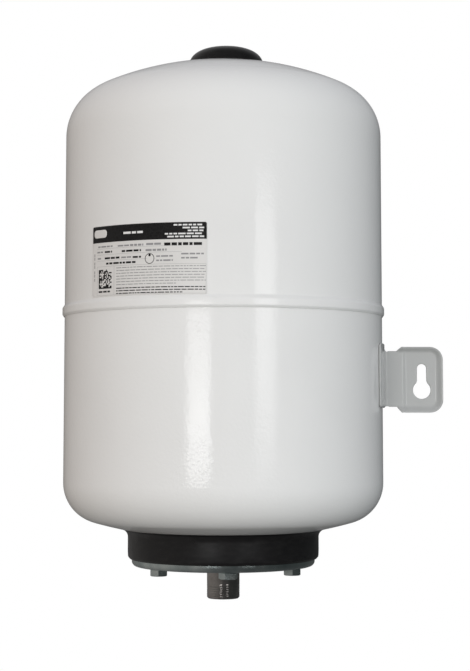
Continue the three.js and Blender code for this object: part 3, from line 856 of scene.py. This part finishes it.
def rating_label():
    """The label film and its print, with bars for words. A row is (left, right, v, height)."""
    draw = random.Random(4)
    film = sheet(
        "rating_label_film",
        dense(rounded([(0, 0, 1.5), (LABEL_WIDTH, 0, 1.5), (LABEL_WIDTH, LABEL_HEIGHT, 1.5),
                       (0, LABEL_HEIGHT, 1.5)], steps=6), 1.5),
        [], on_label, 0.2, FILM, grid=1.5, edge=0.05)
    inset_u, band_low = 0.4, 41.6
    band = sheet(
        "rating_label_band",
        dense(rounded([(inset_u, band_low, 0.3), (LABEL_WIDTH - inset_u, band_low, 0.3),
                       (LABEL_WIDTH - inset_u, LABEL_HEIGHT - inset_u, 1.3),
                       (inset_u, LABEL_HEIGHT - inset_u, 1.3)], steps=6), 1.5),
        [], lambda u, v: on_label(u, v, INK_DEPTH), INK_DEPTH + 0.01, BLACK_INK, grid=1.5, edge=0.01)

    white = [bar for row, left in enumerate((78, 85, 89, 71, 73))
             for bar in words(draw, left, LABEL_WIDTH - 2.4, 52.3 - 2.2 * row, 1.15, 2.0, 6.0, 0.9)]
    white += list(words(draw, 34.5, 52.5, 47.8, 1.7, 3.5, 7.5, 1.1))

    black = []
    for left, right, v, height in (
        (70.5, 101.5, 38.0, 2.2), (15, 23, 34.2, 1.4), (33, 51, 34.0, 1.5), (15, 31, 29.3, 1.5),
        (43.5, 51, 29.0, 1.4), (16.5, 48, 25.2, 1.5), (8, 21, 3.7, 1.3),
    ):
        black += words(draw, left, right, v, height, 2.0, 6.5, 0.9)
    for v, right in ((5.8, 102.5), (3.8, 102.5), (1.8, 86.5)):
        black += words(draw, 27.6, right, v, 0.75, 1.4, 5.5, 0.7)
    cell, cells = 1.05, 14
    for row in range(cells):
        filled = [draw.random() < 0.6 or column == 0 or row == 0 for column in range(cells)]
        for column, on in enumerate(filled):
            if on:
                left, bottom = 8 + column * cell, 6 + row * cell
                black.append((left, left + cell, bottom, bottom + cell))

    grey = []
    for left, right, v, height in (
        (7, 23.5, 38.4, 1.2), (29, 40, 38.2, 1.2), (41, 53, 38.2, 1.6), (55.5, 68.5, 38.4, 1.6),
        (6, 12.7, 34.3, 1.2), (55, 72.5, 33.8, 1.6), (6.5, 12, 29.4, 1.2), (32.5, 42, 29.2, 1.2),
        (64, 77.5, 29.0, 1.2), (64, 77.5, 25.8, 1.2), (84, 101.5, 30.5, 1.2), (84, 97, 27.4, 1.2),
    ):
        grey += words(draw, left, right, v, height, 1.6, 6.0, 0.8)
    for row in range(7):
        right = 80 if row == 6 else 102.8
        grey += words(draw, 27.6, right, 21.4 - 2.15 * row, 0.55, 1.2, 5.5, 0.7)
    line = 0.14
    rules = ((36.7, 84.5), (32.1, 84.5), (27.4, 56), (23.0, 103), (0.8, 103))
    grey += [(6, right, v, v + line) for v, right in rules]
    grey += [(u, u + line, 0.8, 23.0) for u in (6, 25.2, 102.9)]
    grey += [(2.3, 3.2, v, v + 2.2) for v in (12, 15.2, 17.8, 22, 24.6, 28.4, 31)]

    def circle(u, v, radius):
        turns = [TAU * k / 48 for k in range(48)]
        return [(u + radius * math.cos(t), v + radius * math.sin(t)) for t in turns]

    def printed(name, outline, holes, lift, material):
        return sheet(name, outline, holes, lambda u, v: on_label(u, v, lift), INK_DEPTH + 0.01, material,
                     grid=1.5, edge=0.01)

    plaque = dense(rounded([
        (2.2, 45.4, 2.6), (17.2, 45.4, 2.6), (17.2, 51.6, 2.6), (2.2, 51.6, 2.6)], steps=6), 1.5)
    dial_u, dial_v = 58.4, 27.4
    ring_hole = [circle(dial_u, dial_v, 3.5)]
    return film, [
        band,
        printed("rating_label_ring", circle(dial_u, dial_v, 4.0), ring_hole, INK_DEPTH, BLACK_INK),
        printed("rating_label_dot", circle(dial_u, 30.0, 1.0), [], INK_DEPTH, BLACK_INK),
        printed("rating_label_plaque", plaque, [], 2 * INK_DEPTH, FILM),
        marks("rating_label_white_marks", white, WHITE_INK, INK_DEPTH),
        marks("rating_label_black_marks", black, BLACK_INK),
        marks("rating_label_grey_marks", grey, GREY_INK),
    ]


label_film, label_inks = rating_label()
stands_for(label_film, "rating_label")
for ink in label_inks:
    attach(ink, "vessel")


# ---------------------------------------------------------------- bladder

def bladder():
    low, high = box("bladder")
    wall, neck_r, lip_r, bag_r = 2.0, 46.6, 56.0, 105.0
    low_z, shoulder_z, crown_z = 61.5, 131.5, 301.5
    lip_top = low.z + 3.4

    def skin(depth):
        crown = [((bag_r - depth) * math.sin(t), crown_z + (high.z - crown_z - depth) * math.cos(t))
                 for t in (math.pi / 2 * k / 40 for k in range(41))]
        side = [(bag_r - depth, z) for z in range(290, 135, -10)]
        shoulder = [(neck_r - depth + (bag_r - neck_r) * math.cos(t),
                     shoulder_z - (shoulder_z - low_z - depth) * math.sin(t))
                    for t in (math.pi / 2 * k / 30 for k in range(31))]
        return crown + side + shoulder

    lip = rounded([
        (neck_r, low_z, 0),
        (neck_r, lip_top, 1.5),
        (lip_r, lip_top, 0.8),
        (lip_r, low.z, 0.8),
        (neck_r - wall, low.z, 0.8),
        (neck_r - wall, low_z, 0),
    ], closed=False)
    return turned("bladder_moulded", skin(0) + lip[1:] + skin(wall)[::-1], BUTYL, sides=144)


stands_for(bladder(), "bladder")


# ---------------------------------------------------------------- air valve

def valve_boss():
    low, high = box("valve_boss")
    pocket_r, pocket_z, bore_r, body_r = 7.6, high.z - 1.9, 5.3, 11.2
    profile = dense(rounded([
        (bore_r, low.z, 0.4),
        (high.x, low.z, 0.6),
        (high.x, low.z + 3.3, 1.0),
        (body_r, low.z + 3.3, 1.2),
        (body_r, high.z, 0.5),
        (pocket_r, high.z, 0.3),
        (pocket_r, pocket_z, 0.3),
        (bore_r, pocket_z, 0.3),
    ]), 1.5)
    return turned("valve_boss_turned", profile, STEEL, sides=96)


def valve_seal():
    low, high = box("valve_seal")
    section_r = (high.z - low.z) / 2
    profile = arc(high.x - section_r, (low.z + high.z) / 2, section_r, 0, 345, 23)
    return turned("valve_o_ring", profile, NITRILE, sides=96)


def valve_stem():
    low, high = box("valve_stem")
    hex_low, hex_high = 439.6, 442.6
    corner_r = STEM_FLATS / math.sqrt(3) + 0.01
    face_r, chamfer_h = 6.7, 0.75
    passage_r, bore_r, bore_floor = 1.2, 2.65, 430.6
    relief_r, relief_top, thread_low = 4.2, 432.5, 432.9
    thread_r, tube_r = 5.0, 3.85
    profile = (
        [(passage_r, low.z), (3.8, low.z), (relief_r, low.z + 0.4), (relief_r, relief_top), (4.6, relief_top)]
        + dense([(thread_r, thread_low), (thread_r, hex_low)], 0.12, closed=False)
        + [(face_r, hex_low)]
        + dense([(face_r, hex_low), (corner_r, hex_low + chamfer_h)], 0.1, closed=False)[1:]
        + dense([(corner_r, hex_high - chamfer_h), (face_r, hex_high)], 0.1, closed=False)
        + [(tube_r + 0.3, hex_high)]
        + dense([(tube_r, hex_high + 0.3), (tube_r, high.z - 0.6)], 0.09, closed=False)
        + [(tube_r - 0.5, high.z), (3.0, high.z), (bore_r, high.z - 0.4)]
        + [(bore_r, bore_floor), (passage_r, bore_floor)]
    )
    warp = both(
        hexagon_warp(STEM_FLATS, hex_low, hex_high),
        both(thread_warp(thread_r, 1.0, 0.6, thread_low, hex_low - 0.3, run_out=0.8),
             thread_warp(tube_r, 0.794, 0.42, hex_high + 0.8, high.z - 0.6, run_out=0.8)))
    return turned("valve_stem_turned", profile, BRASS, sides=96, warp=warp)


def core_barrel():
    low, high = box("valve_core_barrel")
    bore_r, barrel_r = 1.1, high.x
    flats_z = high.z - 2.2

    def two_flats(angle, radius, z):
        if z < flats_z - 1e-6:
            return radius, z
        return min(radius, 1.35 / max(1e-6, abs(math.cos(angle)))), z

    profile = (
        [(bore_r, low.z), (barrel_r - 0.7, low.z), (barrel_r - 0.5, low.z + 0.2), (barrel_r, low.z + 3)]
        + dense([(barrel_r, low.z + 3.2), (barrel_r, flats_z - 0.1)], 0.08, closed=False)
        + [(barrel_r, flats_z), (barrel_r, high.z - 0.2), (barrel_r - 0.2, high.z), (bore_r, high.z)]
    )
    warp = both(two_flats, thread_warp(barrel_r, 0.7, 0.2, low.z + 3.2, flats_z - 0.1, run_out=0.8))
    return turned("valve_core_barrel_turned", profile, BRASS, sides=72, warp=warp)


def core_pin():
    low, high = box("valve_core_pin")
    pin_r, cup_low, cup_high = 0.7, 436.8, 438.0
    profile = (
        [(0, low.z)] + arc(pin_r - 0.2, low.z + 0.2, 0.2, -90, 0, 4)
        + [(pin_r, cup_low), (high.x - 0.15, cup_low), (high.x, cup_low + 0.15), (high.x, cup_high - 0.15),
           (high.x - 0.15, cup_high), (pin_r, cup_high), (pin_r, high.z - 0.35)]
        + arc(pin_r - 0.35, high.z - 0.35, 0.35, 0, 90, 5) + [(0, high.z)]
    )
    return turned("valve_core_pin_turned", profile, BRASS, sides=48)


def core_seal():
    low, high = box("valve_core_seal")
    profile = rounded([(1.0, low.z, 0.15), (high.x, low.z, 0.2), (high.x, high.z, 0.2), (1.0, high.z, 0.15)])
    return turned("valve_core_seal_moulded", profile, NITRILE, sides=48)


def core_spring():
    wire_r, turns, steps, wire_sides = 0.2, 4, 36, 10
    coil_r = 1.55
    first, last = 431.1, 436.3
    rise = (last - first) / (TAU * turns * coil_r)
    points, faces = [], []
    count = turns * steps
    for i in range(count + 1):
        angle = TAU * i / steps
        out = Vector((math.cos(angle), math.sin(angle), 0))
        along = Vector((-math.sin(angle), math.cos(angle), rise)).normalized()
        up = out.cross(along)
        centre = out * coil_r + Vector((0, 0, first + (last - first) * i / count))
        for k in range(wire_sides):
            turn = TAU * k / wire_sides
            points.append(centre + out * wire_r * math.cos(turn) + up * wire_r * math.sin(turn))
        if i:
            base = i * wire_sides
            faces += [[base - wire_sides + k, base - wire_sides + (k + 1) % wire_sides,
                       base + (k + 1) % wire_sides, base + k] for k in range(wire_sides)]
    faces.append(list(range(wire_sides)))
    faces.append([count * wire_sides + k for k in range(wire_sides)])
    return build_mesh("valve_core_spring_coil", points, faces, WIRE, sharp=60)


stands_for(valve_boss(), "valve_boss")
stands_for(valve_seal(), "valve_seal")
stands_for(valve_stem(), "valve_stem")
stands_for(core_barrel(), "valve_core_barrel")
stands_for(core_pin(), "valve_core_pin", "valve_pin")
stands_for(core_seal(), "valve_core_seal", "valve_pin")
spring = stands_for(core_spring(), "valve_core_spring")
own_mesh(spring)


# ---------------------------------------------------------------- valve cover

def valve_cover():
    """One moulding over the CAD's skirt and hub nodes, off the vessel's axis by the box's offset."""
    low, high = box("valve_cover")[0], box("valve_cover_hub")[1]
    base_r = (box("valve_cover")[1].x - low.x) / 2
    base_z = low.z - 0.3
    height = high.z - base_z
    edge_z = low.z
    ceiling_z = high.z - COVER_WALL
    hub_low = 440.1

    def skin(depth, start_r, steps):
        """A flattened dome from a radius near its crown down to the edge."""
        radius, rise = base_r - depth, height - depth

        def at(angle):
            across, up = math.sin(angle), math.cos(angle)
            scale = (across ** COVER_POWER + up ** COVER_POWER) ** (-1 / COVER_POWER)
            return radius * across * scale, base_z + rise * up * scale

        angles = [math.pi / 2 * k / 2000 for k in range(2000)]
        start = next(a for a in angles if at(a)[0] >= start_r)
        end = next(a for a in angles if at(a)[1] <= edge_z + 0.5)
        return [at(start + (end - start) * k / steps) for k in range(steps + 1)]

    outer = skin(0, 2.6, 48)
    inner = skin(COVER_WALL, HUB_OUTER_R + 0.6, 32)
    gate = [(0, high.z - 0.25), (1.5, high.z - 0.25), (1.9, high.z - 0.02)]
    lip = [(base_r - 0.12, edge_z + 0.12), (base_r - 0.4, edge_z), (base_r - COVER_WALL + 0.2, edge_z)]
    hub = rounded([
        (HUB_OUTER_R + 0.6, inner[0][1], 0),
        (HUB_OUTER_R, ceiling_z - 1.0, 0.6),
        (HUB_OUTER_R - 0.1, hub_low, 0.3),
        (HUB_INNER_R + 0.3, hub_low, 0.2),
        (HUB_INNER_R, hub_low + 1.0, 0.4),
        (HUB_INNER_R, ceiling_z, 0.4),
        (0, ceiling_z, 0),
    ], closed=False)
    profile = gate + outer + lip + inner[::-1] + hub[1:]
    cover = turned("valve_cover_moulded", profile, PLASTIC, sides=192)
    offset = Vector((low.x + base_r, 0, 0)) * MM
    for vertex in cover.data.vertices:
        vertex.co += offset
    return cover


cover = stands_for(valve_cover(), "valve_cover", "valve_cover")
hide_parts("valve_cover_hub")


# ---------------------------------------------------------------- camera, light and floor

def lamp(name, azimuth, distance, low, high, width, radiance, glossy=True):
    """An upright soft box that faces the vessel.

    Azimuth is in degrees from -Y towards +X; lengths are in metres."""
    data = bpy.data.lights.new(name, "AREA")
    data.shape = "RECTANGLE"
    data.size = width
    data.size_y = high - low
    data.energy = radiance * 4 * width * (high - low)
    obj = bpy.data.objects.new(name, data)
    bpy.context.scene.collection.objects.link(obj)
    turn = math.radians(azimuth)
    obj.location = (distance * math.sin(turn), -distance * math.cos(turn), (low + high) / 2)
    obj.rotation_euler = (math.pi / 2, 0, turn)
    obj.visible_glossy = glossy


def sky():
    """White to the camera, soft on the object, and dark in its reflections but for a glow high behind."""
    world = bpy.data.worlds.new("studio")
    bpy.context.scene.world = world
    world.use_nodes = True
    nodes, links = world.node_tree.nodes, world.node_tree.links
    nodes.clear()
    out = nodes.new("ShaderNodeOutputWorld")
    path = nodes.new("ShaderNodeLightPath")
    direction = nodes.new("ShaderNodeTexCoord")
    split = nodes.new("ShaderNodeSeparateXYZ")
    links.new(direction.outputs["Generated"], split.inputs["Vector"])

    def gradient(axis, stops):
        spread_out = nodes.new("ShaderNodeMapRange")
        spread_out.inputs["From Min"].default_value = -1
        links.new(split.outputs[axis], spread_out.inputs["Value"])
        colors = nodes.new("ShaderNodeValToRGB")
        elements = colors.color_ramp.elements
        while len(elements) < len(stops):
            elements.new(0.5)
        for element, (position, color) in zip(elements, stops):
            element.position = position
            element.color = (*color, 1)
        links.new(spread_out.outputs["Result"], colors.inputs["Fac"])
        shine = nodes.new("ShaderNodeBackground")
        links.new(colors.outputs["Color"], shine.inputs["Color"])
        return shine.outputs["Background"]

    def add(first, second):
        total = nodes.new("ShaderNodeAddShader")
        links.new(first, total.inputs[0])
        links.new(second, total.inputs[1])
        return total.outputs["Shader"]

    def choose(factor, otherwise, chosen):
        mix = nodes.new("ShaderNodeMixShader")
        links.new(factor, mix.inputs["Fac"])
        links.new(otherwise, mix.inputs[1])
        links.new(chosen, mix.inputs[2])
        return mix.outputs["Shader"]

    sides = gradient("X", [
        (0.0, (0.557, 0.481, 0.421)), (0.5, (0.1, 0.12, 0.13)), (1.0, (0.05, 0.065, 0.075))])
    above = gradient("Z", [(0.5, (0, 0, 0)), (1.0, (0.448, 0.449, 0.496))])
    soft = add(sides, above)
    dim_sides = gradient("X", [
        (0.0, (0.3, 0.29, 0.28)), (0.5, (0.1, 0.1, 0.1)), (1.0, (0.05, 0.055, 0.055))])
    high_glow = gradient("Z", [(0.58, (0, 0, 0)), (0.8, (0.5, 0.5, 0.51))])
    dark = choose(split.outputs["Y"], dim_sides, add(dim_sides, high_glow))
    white = gradient("Z", [(0.0, (1, 1, 1)), (1.0, (1, 1, 1))])
    shaded = choose(path.outputs["Is Glossy Ray"], soft, dark)
    links.new(choose(path.outputs["Is Camera Ray"], shaded, white), out.inputs["Surface"])


CAMERA_PITCH = 0.0894
CAMERA_YAW = -0.0071


def studio():
    scene = bpy.context.scene
    scene.view_settings.view_transform = "Standard"
    sky()
    lamp("left_strip_low", -16.5, 2.0, 0.03, 0.2, 0.54, 4.0)
    lamp("left_strip_high", -16.5, 2.0, 0.2, 0.37, 0.54, 2.6)
    lamp("right_strip_high", 28.5, 2.0, 0.2, 0.58, 0.48, 2.1)
    lamp("right_strip_low", 28.5, 2.0, 0.07, 0.2, 0.48, 1.5)
    lamp("front_fill", 0, 3.0, -1.2, 1.8, 3.0, 0.97, glossy=False)
    lamp("right_fill", 30, 3.0, -1.2, 1.8, 3.0, 1.0, glossy=False)
    lamp("back_fill", 190, 3.0, -0.6, 1.0, 1.2, 2.0, glossy=False)

    data = bpy.data.cameras.new("camera")
    data.lens = 87.58
    data.sensor_width = 36
    data.shift_y = -CAMERA_PITCH
    camera = bpy.data.objects.new("camera", data)
    scene.collection.objects.link(camera)
    camera.location = (0, -1.3414, 0.1422)
    camera.rotation_euler = (math.pi / 2 + CAMERA_PITCH, 0, CAMERA_YAW)
    scene.camera = camera

    floor_r, floor_z, sides = 2200, -500, 64
    turns = [TAU * k / sides for k in range(sides)]
    points = [(0, 0, floor_z)] + [(floor_r * math.cos(t), floor_r * math.sin(t), floor_z) for t in turns]
    faces = [[0, 1 + k, 1 + (k + 1) % sides] for k in range(sides)]
    floor_material = new_material("floor_paint", (0.8, 0.8, 0.79), 0.8)
    drive(floor_material, "Roughness", spread(floor_material, noise(floor_material, 8), 0.7, 0.9))
    floor = build_mesh("floor", points, faces, floor_material)
    floor.visible_glossy = False
    floor.visible_diffuse = False
    floor.visible_shadow = False


studio()
